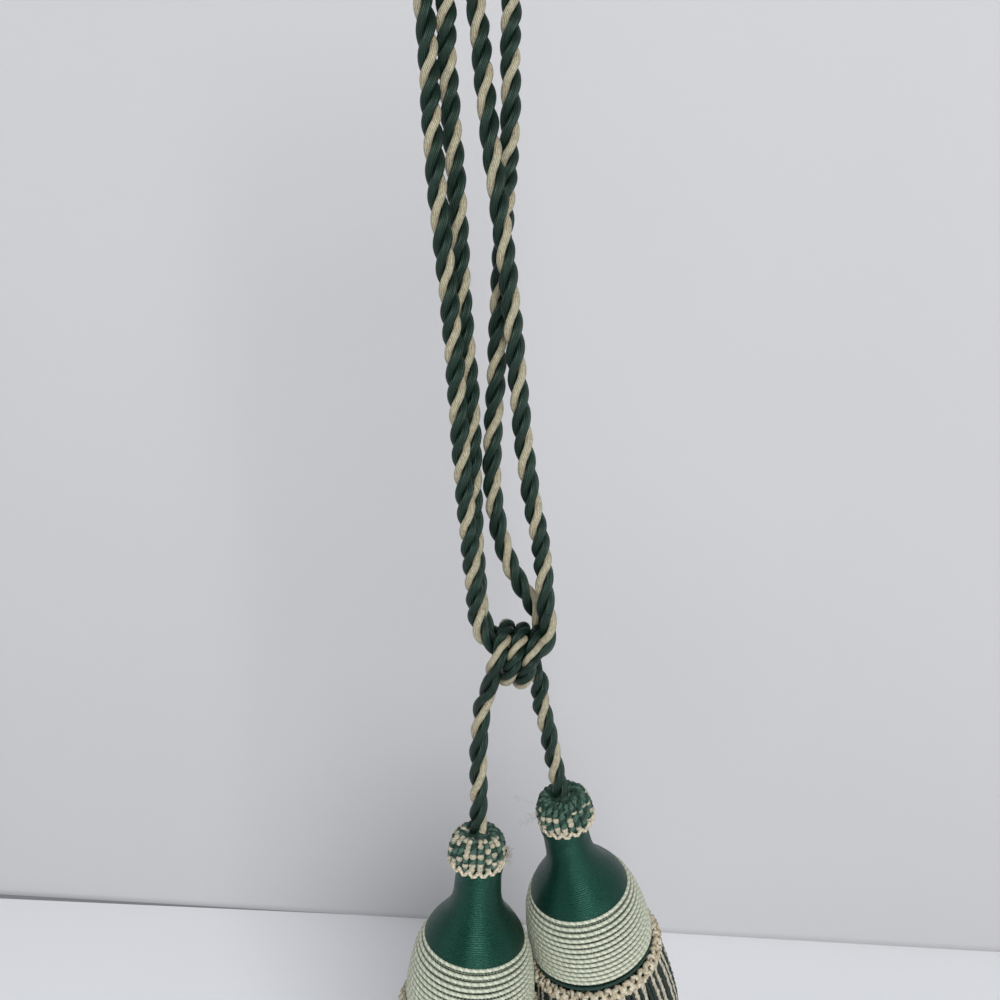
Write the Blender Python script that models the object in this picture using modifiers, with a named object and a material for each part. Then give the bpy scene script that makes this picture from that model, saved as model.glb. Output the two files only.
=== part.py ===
"""A curtain tieback: a twisted cord tied in two loops, a barrel knot and two hanging tassels.

Metres, +Z up. The origin is where both loops hang, at the top of their bends; +X is to the right and
-Y is the front. Each tassel is turned about its own leaning axis, downwards from the top of its neck.
"""

import math

import bmesh
import bpy
import numpy as np
from mathutils import Euler, Matrix, Vector

# Driving dimensions.
CORD_DIAMETER = 0.0078
CORD_GAP = 0.0005  # between two solids that meet
LOOP_STEP = 0.024  # between the points of a loop's tube, where it is straight
DROP_STEP = 0.008
SQUARE_END = 0.0015  # each tube's first and last straight bit, which squares its cap to the cord
BEND_PACE = 0.030  # each radian that a cord turns counts as this much length, so bends get more points
CORD_SIDES = 2  # bevel resolution: 8 sides
CAP_WELD = 1e-6  # points this close where a tube's caps meet its side are one

KNOT_CENTRE = Vector((0.0223, 0.0, -0.333))
KNOT_TURNS_RADIUS = 0.0106  # to the middle of the wound cord
KNOT_PITCH = 0.0066
KNOT_TILT = math.radians(12)  # the turns' axis dips to the right
KNOT_FIRST_FRONT_X = 0.0152  # where the first turn passes the front
KNOT_TURN_RADIUS = 0.0031  # half the width of one pressed turn
KNOT_STEPS_A_TURN = 12
KNOT_ENTRY_STEP = 0.010
KNOT_START_ANGLE = math.radians(50)
KNOT_END_ANGLE = math.radians(1030)
KNOT_CORE_RADIUS = 0.0098
KNOT_CORE_LENGTH = 0.0185
KNOT_ENTRY_LENGTH = 0.026  # of each loop's end that belongs to the knot
KNOT_TAIL_LENGTH = 0.010  # of each drop that belongs to the knot

TURNED_STEPS = 32
COLLAR_STEPS = 22
SKIRT_TEETH = 16
SKIRT_SLOT_WIDTH = 0.0020
SKIRT_SLOT_TOP = 0.095  # below the neck's top
SKIRT_BOTTOM = 0.187
SKIRT_SLOT_REACH = (0.020, 0.045)  # inner and outer radius of a slot's cutter
SKIRT_SLOT_OVERRUN = 0.010  # how far the cutters pass below the skirt
SKIRT_SLOT_OFFSET = 0.25  # of a tooth, which keeps the slots off the turned edges
AXIS_WELD = 1e-5  # points this close to a turned piece's axis are one
PLUMB_START = 0.095  # depth where a leaning tassel's skirt starts to swing to plumb
PLUMB_LENGTH = 0.045  # and how much further it takes to hang straight down

# One row for each tassel: neck top, lean to the back and to the left, and its collar's shift to the right.
TASSELS = (
    # name, neck_x, neck_y, neck_z, back_degrees, left_degrees, collar_x
    ("left", 0.0079, 0.0000, -0.4237, 2.89, 3.89, -0.0013),
    ("right", 0.0433, 0.0105, -0.4111, 10.26, -12.77, 0.0020),
)

# Routes of the cord's middle: x, y, z. Each loop starts and ends inside the knot.
LEFT_LOOP_ROUTE = (
    (0.0225, -0.0036, -0.3300),
    (0.0170, -0.0040, -0.3288),
    (0.0105, -0.0041, -0.3245),
    (0.0076, -0.0041, -0.3175),
    (0.0067, -0.0041, -0.3098),
    (0.0052, -0.0042, -0.2929),
    (0.0029, -0.0042, -0.2681),
    (0.0001, -0.0043, -0.2281),
    (-0.0027, -0.0046, -0.1898),
    (-0.0064, -0.0054, -0.1531),
    (-0.0087, -0.0056, -0.1178),
    (-0.0113, -0.0050, -0.0839),
    (-0.0152, -0.0047, -0.0680),
    (-0.0200, -0.0045, -0.0530),
    (-0.0253, -0.0045, -0.0360),
    (-0.0283, -0.0045, -0.0200),
    (-0.0238, -0.0045, -0.0087),
    (-0.0125, -0.0045, -0.0039),
    (-0.0010, -0.0045, -0.0087),
    (0.0036, -0.0045, -0.0200),
    (0.0030, -0.0045, -0.0360),
    (0.0010, -0.0045, -0.0560),
    (-0.0026, -0.0036, -0.0839),
    (-0.0020, -0.0008, -0.1178),
    (0.0004, 0.0005, -0.1531),
    (0.0019, 0.0026, -0.1898),
    (0.0048, 0.0031, -0.2281),
    (0.0057, 0.0036, -0.2681),
    (0.0066, 0.0041, -0.2929),
    (0.0078, 0.0041, -0.3098),
    (0.0087, 0.0041, -0.3170),
    (0.0115, 0.0041, -0.3240),
    (0.0175, 0.0040, -0.3286),
    (0.0225, 0.0036, -0.3300),
)
RIGHT_LOOP_ROUTE = (
    (0.0245, -0.0036, -0.3328),
    (0.0315, -0.0040, -0.3308),
    (0.0355, -0.0040, -0.3250),
    (0.0359, -0.0040, -0.3175),
    (0.0349, -0.0040, -0.3098),
    (0.0337, -0.0041, -0.2929),
    (0.0293, -0.0041, -0.2681),
    (0.0241, -0.0042, -0.2281),
    (0.0205, -0.0042, -0.1898),
    (0.0159, -0.0034, -0.1531),
    (0.0114, 0.0002, -0.1178),
    (0.0077, 0.0025, -0.0839),
    (0.0040, 0.0036, -0.0640),
    (-0.0005, 0.0044, -0.0430),
    (-0.0036, 0.0045, -0.0230),
    (0.0010, 0.0045, -0.0090),
    (0.0124, 0.0045, -0.0039),
    (0.0239, 0.0045, -0.0088),
    (0.0285, 0.0045, -0.0210),
    (0.0270, 0.0045, -0.0400),
    (0.0240, 0.0045, -0.0600),
    (0.0208, 0.0045, -0.0839),
    (0.0205, 0.0045, -0.1178),
    (0.0186, 0.0046, -0.1531),
    (0.0163, 0.0044, -0.1898),
    (0.0145, 0.0041, -0.2281),
    (0.0139, 0.0044, -0.2681),
    (0.0169, 0.0044, -0.2845),
    (0.0195, 0.0043, -0.2929),
    (0.0232, 0.0041, -0.3013),
    (0.0283, 0.0040, -0.3098),
    (0.0322, 0.0040, -0.3175),
    (0.0336, 0.0040, -0.3250),
    (0.0305, 0.0040, -0.3306),
    (0.0245, 0.0036, -0.3326),
)
# The tied cord runs from the left tassel's collar up to the knot, round its turns and down to the right one.
LEFT_DROP_ROUTE = (
    (0.0073, -0.0005, -0.4130),
    (0.0073, -0.0007, -0.4040),
    (0.0074, -0.0009, -0.3900),
    (0.0076, -0.0012, -0.3714),
    (0.0086, -0.0022, -0.3600),
    (0.0102, -0.0040, -0.3510),
    (0.0124, -0.0063, -0.3450),
)
RIGHT_DROP_ROUTE = (
    (0.0328, 0.0062, -0.3460),
    (0.0334, 0.0060, -0.3530),
    (0.0353, 0.0066, -0.3635),
    (0.0384, 0.0072, -0.3774),
    (0.0412, 0.0079, -0.3920),
    (0.0430, 0.0086, -0.4006),
)

# Turned profiles as rows of radius and depth below the neck's top, outer side from top to bottom.
COLLAR_PROFILE = (
    # radius, depth
    (0.0000, -0.0100),
    (0.0044, -0.0100),
    (0.0052, -0.0110),
    (0.0080, -0.0094),
    (0.0110, -0.0066),
    (0.0126, -0.0035),
    (0.0129, -0.0008),
    (0.0122, 0.0034),
    (0.0106, 0.0034),
    (0.0106, -0.0032),
    (0.0000, -0.0032),
)
HEAD_PROFILE = (
    # radius, depth
    (0.0000, -0.0028),
    (0.0082, -0.0028),
    (0.0082, 0.0037),
    (0.0101, 0.0042),
    (0.0102, 0.0170),
    (0.0112, 0.0230),
    (0.0137, 0.0280),
    (0.0176, 0.0330),
    (0.0214, 0.0385),
    (0.0197, 0.0400),
    (0.0234, 0.0480),
    (0.0255, 0.0580),
    (0.0262, 0.0690),
    (0.0256, 0.0760),
    (0.0246, 0.0900),
    (0.0000, 0.0900),
)
BAND_PROFILE = (
    # radius, depth
    (0.0219, 0.0392),
    (0.0241, 0.0430),
    (0.0262, 0.0485),
    (0.0279, 0.0570),
    (0.0288, 0.0650),
    (0.0290, 0.0705),
    (0.0283, 0.0737),
    (0.0266, 0.0737),
    (0.0267, 0.0690),
    (0.0260, 0.0580),
    (0.0239, 0.0480),
    (0.0207, 0.0404),
)
GIMP_PROFILE = (
    # radius, depth
    (0.0275, 0.0748),
    (0.0305, 0.0770),
    (0.0318, 0.0808),
    (0.0316, 0.0832),
    (0.0262, 0.0832),
    (0.0262, 0.0748),
)
SKIRT_PROFILE = (
    # radius, depth
    (0.0312, 0.0837),
    (0.0332, 0.0930),
    (0.0354, 0.1160),
    (0.0361, 0.1400),
    (0.0360, SKIRT_BOTTOM),
    (0.0316, SKIRT_BOTTOM),
    (0.0316, 0.1400),
    (0.0310, 0.1160),
    (0.0286, 0.0930),
    (0.0254, 0.0837),
)

# One row for each finish: base colour, roughness.
FINISHES = {
    "twisted_cord": ((0.035, 0.085, 0.055), 0.75),
    "looped_gimp_collar": ((0.060, 0.130, 0.095), 0.85),
    "satin_thread": ((0.014, 0.085, 0.062), 0.35),
    "wound_fine_cord": ((0.420, 0.430, 0.350), 0.55),
    "cream_gimp": ((0.520, 0.450, 0.320), 0.80),
    "fringe_cord": ((0.180, 0.220, 0.160), 0.80),
}


def clear_scene():
    for obj in list(bpy.data.objects):
        bpy.data.objects.remove(obj, do_unlink=True)


def new_collection(name):
    collection = bpy.data.collections.new(name)
    bpy.context.scene.collection.children.link(collection)
    return collection


def new_material(name, colour, roughness):
    material = bpy.data.materials.new(name)
    material.use_nodes = True
    shader = material.node_tree.nodes["Principled BSDF"]
    shader.inputs["Base Color"].default_value = (*colour, 1.0)
    shader.inputs["Roughness"].default_value = roughness
    shader.inputs["Metallic"].default_value = 0.0
    return material


def own_material(obj, finish):
    colour, roughness = FINISHES[finish]
    obj.data.materials.clear()
    obj.data.materials.append(new_material(f"{obj.name}_{finish}", colour, roughness))


def smooth_curve(points, samples=2400):
    """A natural cubic curve through the points, as many close samples, parametrised by chord length."""
    points = np.array(points, float)
    chords = np.linalg.norm(np.diff(points, axis=0), axis=1)
    knots = np.concatenate([[0.0], np.cumsum(chords)])
    count = len(points)
    system = np.eye(count)
    right_side = np.zeros((count, 3))
    slopes = np.diff(points, axis=0) / chords[:, None]
    for i in range(1, count - 1):
        system[i, i - 1] = chords[i - 1]
        system[i, i] = 2 * (chords[i - 1] + chords[i])
        system[i, i + 1] = chords[i]
        right_side[i] = 6 * (slopes[i] - slopes[i - 1])
    bends = np.linalg.solve(system, right_side)
    at = np.linspace(0.0, knots[-1], samples)
    cell = np.clip(np.searchsorted(knots, at, side="right") - 1, 0, count - 2)
    ahead = (at - knots[cell])[:, None]
    chord = chords[cell][:, None]
    slope = slopes[cell] - chord * (2 * bends[cell] + bends[cell + 1]) / 6
    cubic = (bends[cell + 1] - bends[cell]) / (6 * chord)
    return points[cell] + ahead * (slope + ahead * (bends[cell] / 2 + ahead * cubic))


def lengths_along(curve):
    return np.concatenate([[0.0], np.cumsum(np.linalg.norm(np.diff(curve, axis=0), axis=1))])


def stretch(curve, start, end, step):
    """Points along a close-sampled curve, from start to end measured along it, closer where it bends."""
    lengths = lengths_along(curve)
    steps = np.diff(curve, axis=0)
    ways = steps / np.linalg.norm(steps, axis=1)[:, None]
    turns = np.concatenate([[0.0], np.linalg.norm(np.diff(ways, axis=0), axis=1), [0.0]])
    paces = lengths + BEND_PACE * np.cumsum(turns)
    inner = np.interp((start + SQUARE_END, end - SQUARE_END), lengths, paces)
    between = np.linspace(*inner, max(3, round((inner[1] - inner[0]) / step) + 1))
    at = np.concatenate([np.interp([start], lengths, paces), between, np.interp([end], lengths, paces)])
    return np.stack([np.interp(at, paces, curve[:, axis]) for axis in range(3)], axis=1)


def add_tube(name, points, radius, collection):
    """A cord's stretch: a bevelled poly curve with filled caps."""
    curve = bpy.data.curves.new(name, "CURVE")
    curve.dimensions = "3D"
    curve.bevel_depth = radius
    curve.bevel_resolution = CORD_SIDES
    curve.use_fill_caps = True
    spline = curve.splines.new("POLY")
    spline.points.add(len(points) - 1)
    for target, point in zip(spline.points, points):
        target.co = (*point, 1.0)
    obj = bpy.data.objects.new(name, curve)
    collection.objects.link(obj)
    return obj


def as_mesh(curve_object, collection):
    """The curve's evaluated tube as a mesh with its caps welded, in place of the curve."""
    name = curve_object.name
    bpy.context.view_layer.update()
    graph = bpy.context.evaluated_depsgraph_get()
    mesh = bpy.data.meshes.new_from_object(curve_object.evaluated_get(graph))
    shape = bmesh.new()
    shape.from_mesh(mesh)
    bmesh.ops.remove_doubles(shape, verts=shape.verts, dist=CAP_WELD)
    bmesh.ops.recalc_face_normals(shape, faces=shape.faces)
    shape.to_mesh(mesh)
    shape.free()
    bpy.data.objects.remove(curve_object, do_unlink=True)
    obj = bpy.data.objects.new(name, mesh)
    collection.objects.link(obj)
    return obj


def add_boolean(obj, other, operation):
    modifier = obj.modifiers.new(f"{operation.lower()}_{other.name}", "BOOLEAN")
    modifier.operation = operation
    modifier.solver = "EXACT"
    modifier.object = other


def as_helper(obj):
    obj.hide_render = True
    obj.display_type = "WIRE"


def knot_turns():
    """The wound cord's middle: from the front at the left, round three times, to the back at the right."""
    count = round(KNOT_STEPS_A_TURN * (KNOT_END_ANGLE - KNOT_START_ANGLE) / math.tau)
    tilt = Matrix.Rotation(KNOT_TILT, 3, "Y")
    points = []
    for angle in np.linspace(KNOT_START_ANGLE, KNOT_END_ANGLE, count):
        along = KNOT_FIRST_FRONT_X - KNOT_CENTRE.x + KNOT_PITCH * (angle - math.pi / 2) / math.tau
        spoke = Vector((along, -KNOT_TURNS_RADIUS * math.sin(angle), -KNOT_TURNS_RADIUS * math.cos(angle)))
        points.append(tuple(KNOT_CENTRE + tilt @ spoke))
    return points


def knot_core(collection):
    """The four cords that the turns hold, pressed into one round bundle."""
    bpy.ops.mesh.primitive_cylinder_add(
        vertices=16, radius=KNOT_CORE_RADIUS, depth=KNOT_CORE_LENGTH,
        location=KNOT_CENTRE, rotation=(0.0, math.pi / 2 + KNOT_TILT, 0.0),
    )
    core = bpy.context.object
    core.name = "knot"
    core.data.name = "knot"
    for owner in core.users_collection:
        owner.objects.unlink(core)
    collection.objects.link(core)
    return core


def length_of(curve):
    return float(lengths_along(curve)[-1])


def length_to(curve, point):
    """How far along a close-sampled curve one of its own points lies."""
    nearest = np.linalg.norm(curve - np.array(point), axis=1).argmin()
    return float(lengths_along(curve)[nearest])


def make_knot(loops, tied, parts, helpers):
    """The barrel knot, with its core, its three turns and the four cord ends that bend into it.

    Returns where along the tied cord the knot starts and ends.
    """
    knot = knot_core(parts)
    turns = knot_turns()
    start = length_to(tied, turns[0]) - KNOT_TAIL_LENGTH
    end = length_to(tied, turns[-1]) + KNOT_TAIL_LENGTH
    turn_step = math.tau * (KNOT_TURNS_RADIUS + BEND_PACE) / KNOT_STEPS_A_TURN
    pieces = [add_tube("knot_turns", stretch(tied, start, end, turn_step), KNOT_TURN_RADIUS, helpers)]
    for name, curve in loops.items():
        whole = length_of(curve)
        for side, entry in (("front", 0.0), ("back", whole - KNOT_ENTRY_LENGTH)):
            points = stretch(curve, entry, entry + KNOT_ENTRY_LENGTH, KNOT_ENTRY_STEP)
            pieces.append(add_tube(f"knot_{name}_{side}", points, CORD_DIAMETER / 2, helpers))
    for piece in pieces:
        helper = as_mesh(piece, helpers)
        as_helper(helper)
        add_boolean(knot, helper, "UNION")
    own_material(knot, "twisted_cord")
    return start, end


def make_cord(name, curve, start, end, step, parts):
    """A stretch of cord that hangs free, as one tube."""
    tube = add_tube(name, stretch(curve, start, end, step), CORD_DIAMETER / 2, parts)
    own_material(tube, "twisted_cord")


def turned(name, profile, steps, axis, collection):
    """A piece turned about the tassel's axis from rows of radius and depth."""
    rows = [(radius, 0.0, -depth) for radius, depth in profile]
    closed = profile[0][0] > 0
    edges = [(i, i + 1) for i in range(len(rows) - 1)]
    if closed:
        edges.append((len(rows) - 1, 0))
    mesh = bpy.data.meshes.new(name)
    mesh.from_pydata(rows, edges, [])
    obj = bpy.data.objects.new(name, mesh)
    collection.objects.link(obj)
    obj.parent = axis
    screw = obj.modifiers.new("turn", "SCREW")
    screw.axis = "Z"
    screw.steps = steps
    screw.render_steps = steps
    screw.use_merge_vertices = True
    screw.merge_threshold = AXIS_WELD
    screw.use_smooth_shade = True
    return obj


def skirt_slots(name, axis, helpers):
    """Thin upright boxes, one between each two teeth of the skirt's comb."""
    inner, outer = SKIRT_SLOT_REACH
    height = SKIRT_BOTTOM - SKIRT_SLOT_TOP + SKIRT_SLOT_OVERRUN
    size = Matrix.Diagonal((outer - inner, SKIRT_SLOT_WIDTH, height, 1.0))
    place = Matrix.Translation(((inner + outer) / 2, 0.0, -SKIRT_SLOT_TOP - height / 2))
    shape = bmesh.new()
    for tooth in range(SKIRT_TEETH):
        angle = math.tau * (tooth + SKIRT_SLOT_OFFSET) / SKIRT_TEETH
        bmesh.ops.create_cube(shape, size=1.0, matrix=Matrix.Rotation(angle, 4, "Z") @ place @ size)
    mesh = bpy.data.meshes.new(name)
    shape.to_mesh(mesh)
    shape.free()
    slots = bpy.data.objects.new(name, mesh)
    helpers.objects.link(slots)
    slots.parent = axis
    as_helper(slots)
    return slots


def plumb_shift(depth):
    """How far a skirt has swung for each unit of its lean, at this depth."""
    past = (depth - PLUMB_START) / PLUMB_LENGTH
    if past <= 0:
        return 0.0
    if past < 1:
        return PLUMB_LENGTH * (past**3 - past**4 / 2)
    return PLUMB_LENGTH * (past - 0.5)


def hang_plumb(skirt, axis, parts):
    """Replaces a cut skirt by its mesh, with each level shifted sideways so that its strands hang down."""
    name = skirt.name
    bpy.context.view_layer.update()
    graph = bpy.context.evaluated_depsgraph_get()
    mesh = bpy.data.meshes.new_from_object(skirt.evaluated_get(graph))
    down = axis.matrix_world.to_3x3().inverted() @ Vector((0.0, 0.0, -1.0))
    lean = Vector((down.x, down.y, 0.0)) / -down.z
    for vertex in mesh.vertices:
        vertex.co += lean * plumb_shift(-vertex.co.z)
    bpy.data.objects.remove(skirt, do_unlink=True)
    hung = bpy.data.objects.new(name, mesh)
    parts.objects.link(hung)
    hung.parent = axis
    return hung


def make_tassel(row, parts, helpers):
    """One tassel's pieces, all parented to an empty on its axis at the top of its neck."""
    side, neck_x, neck_y, neck_z, back, left, collar_x = row
    axis = bpy.data.objects.new(f"tassel_axis_{side}", None)
    helpers.objects.link(axis)
    axis.location = (neck_x, neck_y, neck_z)
    axis.rotation_euler = Euler((math.radians(back), math.radians(left), 0.0))

    collar = turned(f"collar_{side}", COLLAR_PROFILE, COLLAR_STEPS, axis, parts)
    collar.location.x = collar_x
    own_material(collar, "looped_gimp_collar")
    head = turned(f"head_{side}", HEAD_PROFILE, TURNED_STEPS, axis, parts)
    own_material(head, "satin_thread")
    band = turned(f"band_{side}", BAND_PROFILE, TURNED_STEPS, axis, parts)
    own_material(band, "wound_fine_cord")
    gimp = turned(f"gimp_{side}", GIMP_PROFILE, TURNED_STEPS, axis, parts)
    own_material(gimp, "cream_gimp")
    skirt = turned(f"skirt_{side}", SKIRT_PROFILE, TURNED_STEPS, axis, parts)
    add_boolean(skirt, skirt_slots(f"skirt_slots_{side}", axis, helpers), "DIFFERENCE")
    own_material(hang_plumb(skirt, axis, parts), "fringe_cord")


def main():
    clear_scene()
    parts = new_collection("tassel_tieback")
    helpers = new_collection("helpers")
    loops = {"left": smooth_curve(LEFT_LOOP_ROUTE), "right": smooth_curve(RIGHT_LOOP_ROUTE)}
    for name, curve in loops.items():
        inset = KNOT_ENTRY_LENGTH + CORD_GAP
        make_cord(f"loop_cord_{name}", curve, inset, length_of(curve) - inset, LOOP_STEP, parts)
    tied = smooth_curve(LEFT_DROP_ROUTE + tuple(knot_turns()) + RIGHT_DROP_ROUTE)
    knot_start, knot_end = make_knot(loops, tied, parts, helpers)
    make_cord("drop_cord_left", tied, 0.0, knot_start - CORD_GAP, DROP_STEP, parts)
    make_cord("drop_cord_right", tied, knot_end + CORD_GAP, length_of(tied), DROP_STEP, parts)
    for row in TASSELS:
        make_tassel(row, parts, helpers)


main()
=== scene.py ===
# %% [markdown]
# # A curtain tieback with two tassels
#
# A twisted rope hangs in two loops. The same rope winds round them in a barrel knot, and each
# of its two ends goes down into a tassel: a ribbed collar, a satin head, a band of wound cord,
# a gimp braid and a skirt of fringe cords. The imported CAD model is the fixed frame, and every
# piece of trimming is laid around it, in metres, at the same place.

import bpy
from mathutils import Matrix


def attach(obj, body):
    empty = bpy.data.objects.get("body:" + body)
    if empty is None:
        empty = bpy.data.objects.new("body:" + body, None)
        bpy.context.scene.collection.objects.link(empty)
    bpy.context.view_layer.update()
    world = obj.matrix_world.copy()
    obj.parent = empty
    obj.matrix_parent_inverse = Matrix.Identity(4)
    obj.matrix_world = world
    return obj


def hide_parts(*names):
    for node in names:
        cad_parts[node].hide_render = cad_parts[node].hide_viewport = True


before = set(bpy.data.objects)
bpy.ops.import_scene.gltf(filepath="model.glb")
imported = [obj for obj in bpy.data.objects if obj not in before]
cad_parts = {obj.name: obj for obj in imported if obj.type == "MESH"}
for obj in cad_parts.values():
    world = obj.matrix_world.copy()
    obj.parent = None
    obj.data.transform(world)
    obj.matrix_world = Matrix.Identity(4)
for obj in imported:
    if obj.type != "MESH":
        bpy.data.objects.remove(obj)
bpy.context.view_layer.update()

# %% Tools
import math

import bpy
import numpy as np
from mathutils import Euler, Matrix, Vector

MM = 0.001
BODY = "root"
dice = np.random.default_rng(7)

# %% [markdown]
# ## Camera
#
# The camera looks slightly down, so that the hanging loops run out at the top of the picture
# and the collars show a little of their tops. It comes first, because the rope's twist is set
# by where its cream strand comes to the front, and the front is where the camera is.

# %% Camera
CAMERA_PLACE = Vector((0.0165, -0.3756, -0.190))
CAMERA_DIP = math.radians(11.74)
SENSOR_WIDTH = 36.0
LENS_LENGTH = 34.56
NEAREST_SEEN = 0.01
camera_lens = bpy.data.cameras.new("camera")
camera_lens.sensor_width = SENSOR_WIDTH
camera_lens.lens = LENS_LENGTH
camera_lens.clip_start = NEAREST_SEEN
camera = bpy.data.objects.new("camera", camera_lens)
camera.location = CAMERA_PLACE
camera.rotation_euler = (math.pi / 2 - CAMERA_DIP, 0.0, 0.0)
bpy.context.scene.collection.objects.link(camera)
bpy.context.scene.camera = camera
print("camera at", tuple(camera.location))

# %% [markdown]
# ## The rope's routes
#
# A real rope is one long flexible piece, so each stretch here is one smooth curve through a few
# points. The points are the CAD part's own, and a natural cubic between them has no kinks, as a
# rope has none. The left and right loops start and end inside the knot. The tied stretch comes
# up from the left tassel, goes round three times and comes down to the right one.

# %% Route points, x, y and z in millimetres
LEFT_LOOP_ROUTE = (
    (22.5, -3.6, -330.0), (17.0, -4.0, -328.8), (10.5, -4.1, -324.5), (7.6, -4.1, -317.5),
    (6.7, -4.1, -309.8), (5.2, -4.2, -292.9), (2.9, -4.2, -268.1), (0.1, -4.3, -228.1),
    (-2.7, -4.6, -189.8), (-6.4, -5.4, -153.1), (-8.7, -5.6, -117.8), (-11.3, -5.0, -83.9),
    (-15.2, -4.7, -68.0), (-20.0, -4.5, -53.0), (-25.3, -4.5, -36.0), (-28.3, -4.5, -20.0),
    (-23.8, -4.5, -8.7), (-12.5, -4.5, -3.9), (-1.0, -4.5, -8.7), (3.6, -4.5, -20.0),
    (3.0, -4.5, -36.0), (1.0, -4.5, -56.0), (-2.6, -3.6, -83.9), (-2.0, -0.8, -117.8),
    (0.4, 0.5, -153.1), (1.9, 2.6, -189.8), (4.8, 3.1, -228.1), (5.7, 3.6, -268.1),
    (6.6, 4.1, -292.9), (7.8, 4.1, -309.8), (8.7, 4.1, -317.0), (11.5, 4.1, -324.0),
    (17.5, 4.0, -328.6), (22.5, 3.6, -330.0),
)
RIGHT_LOOP_ROUTE = (
    (24.5, -3.6, -332.8), (31.5, -4.0, -330.8), (35.5, -4.0, -325.0), (35.9, -4.0, -317.5),
    (34.9, -4.0, -309.8), (33.7, -4.1, -292.9), (29.3, -4.1, -268.1), (24.1, -4.2, -228.1),
    (20.5, -4.2, -189.8), (15.9, -3.4, -153.1), (11.4, 0.2, -117.8), (7.7, 2.5, -83.9),
    (4.0, 3.6, -64.0), (-0.5, 4.4, -43.0), (-3.6, 4.5, -23.0), (1.0, 4.5, -9.0),
    (12.4, 4.5, -3.9), (23.9, 4.5, -8.8), (28.5, 4.5, -21.0), (27.0, 4.5, -40.0),
    (24.0, 4.5, -60.0), (20.8, 4.5, -83.9), (20.5, 4.5, -117.8), (18.6, 4.6, -153.1),
    (16.3, 4.4, -189.8), (14.5, 4.1, -228.1), (13.9, 4.4, -268.1), (16.9, 4.4, -284.5),
    (19.5, 4.3, -292.9), (23.2, 4.1, -301.3), (28.3, 4.0, -309.8), (32.2, 4.0, -317.5),
    (33.6, 4.0, -325.0), (30.5, 4.0, -330.6), (24.5, 3.6, -332.6),
)
LEFT_DROP_ROUTE = (
    (7.3, -0.5, -413.0), (7.3, -0.7, -404.0), (7.4, -0.9, -390.0), (7.6, -1.2, -371.4),
    (8.6, -2.2, -360.0), (10.2, -4.0, -351.0), (12.4, -6.3, -345.0),
)
RIGHT_DROP_ROUTE = (
    (32.8, 6.2, -346.0), (33.4, 6.0, -353.0), (35.3, 6.6, -363.5), (38.4, 7.2, -377.4),
    (41.2, 7.9, -392.0), (43.0, 8.6, -400.6),
)
print("loop points:", len(LEFT_LOOP_ROUTE), "left and", len(RIGHT_LOOP_ROUTE), "right")

# %% The knot's turns
KNOT_CENTRE = (22.3, 0.0, -333.0)
KNOT_TILT = math.radians(12.0)  # the turns' axis dips to the right
KNOT_TURNS_RADIUS = 10.6
KNOT_PITCH = 6.6
KNOT_FIRST_FRONT_X = 15.2
KNOT_ANGLES = np.radians((50.0, 1030.0))  # where the turns start and end
KNOT_POINTS = 33


def knot_points(angles):
    """The rope's middle at these angles round the knot.

    90 degrees is the front, and each turn adds 360.
    """
    angles = np.array(angles)
    along = KNOT_FIRST_FRONT_X - KNOT_CENTRE[0] + KNOT_PITCH * (angles - math.pi / 2) / math.tau
    outwards = -KNOT_TURNS_RADIUS * np.sin(angles)
    upwards = -KNOT_TURNS_RADIUS * np.cos(angles)
    tilt = np.array(Matrix.Rotation(KNOT_TILT, 3, "Y"))
    return np.stack([along, outwards, upwards], axis=1) @ tilt.T + KNOT_CENTRE


def knot_route():
    """From the front at the left, three times past the front, to the back at the right."""
    return tuple(knot_points(np.linspace(*KNOT_ANGLES, KNOT_POINTS)))


turns_made = (KNOT_ANGLES[1] - KNOT_ANGLES[0]) / math.tau
print(f"knot: {turns_made:.1f} turns, {KNOT_PITCH} mm apart")


# %% A smooth curve through the points
def smooth_route(points, samples=2400):
    """A natural cubic curve through the points, as close samples, in metres."""
    points = np.array(points, float) * MM
    chords = np.linalg.norm(np.diff(points, axis=0), axis=1)
    knots = np.concatenate([[0.0], np.cumsum(chords)])
    count = len(points)
    system = np.eye(count)
    right_side = np.zeros((count, 3))
    slopes = np.diff(points, axis=0) / chords[:, None]
    for i in range(1, count - 1):
        system[i, i - 1 : i + 2] = chords[i - 1], 2 * (chords[i - 1] + chords[i]), chords[i]
        right_side[i] = 6 * (slopes[i] - slopes[i - 1])
    bends = np.linalg.solve(system, right_side)
    at = np.linspace(0.0, knots[-1], samples)
    cell = np.clip(np.searchsorted(knots, at, side="right") - 1, 0, count - 2)
    ahead = (at - knots[cell])[:, None]
    chord = chords[cell][:, None]
    slope = slopes[cell] - chord * (2 * bends[cell] + bends[cell + 1]) / 6
    cubic = (bends[cell + 1] - bends[cell]) / (6 * chord)
    return points[cell] + ahead * (slope + ahead * (bends[cell] / 2 + ahead * cubic))


ROUTES = {
    "left_loop": smooth_route(LEFT_LOOP_ROUTE),
    "right_loop": smooth_route(RIGHT_LOOP_ROUTE),
    "tied": smooth_route(LEFT_DROP_ROUTE + knot_route() + RIGHT_DROP_ROUTE),
}
print("routes:", ", ".join(ROUTES))

# %% [markdown]
# ## The rope's lay
#
# Three strands lie round each other like the threads of a screw, two dark green and one cream.
# How steeply they turn is the lay. A frame is carried along each route without any twist of its
# own, and the strands turn steadily in it. Levels where the cream strand faces the front fix
# the lay, so the cream flashes fall where they do on the real rope, a little closer together
# near the knot.


# %% Carry a frame along a route
def lengths_along(line):
    steps = np.linalg.norm(np.diff(line, axis=0), axis=1)
    return np.concatenate([[0.0], np.cumsum(steps)])


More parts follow.
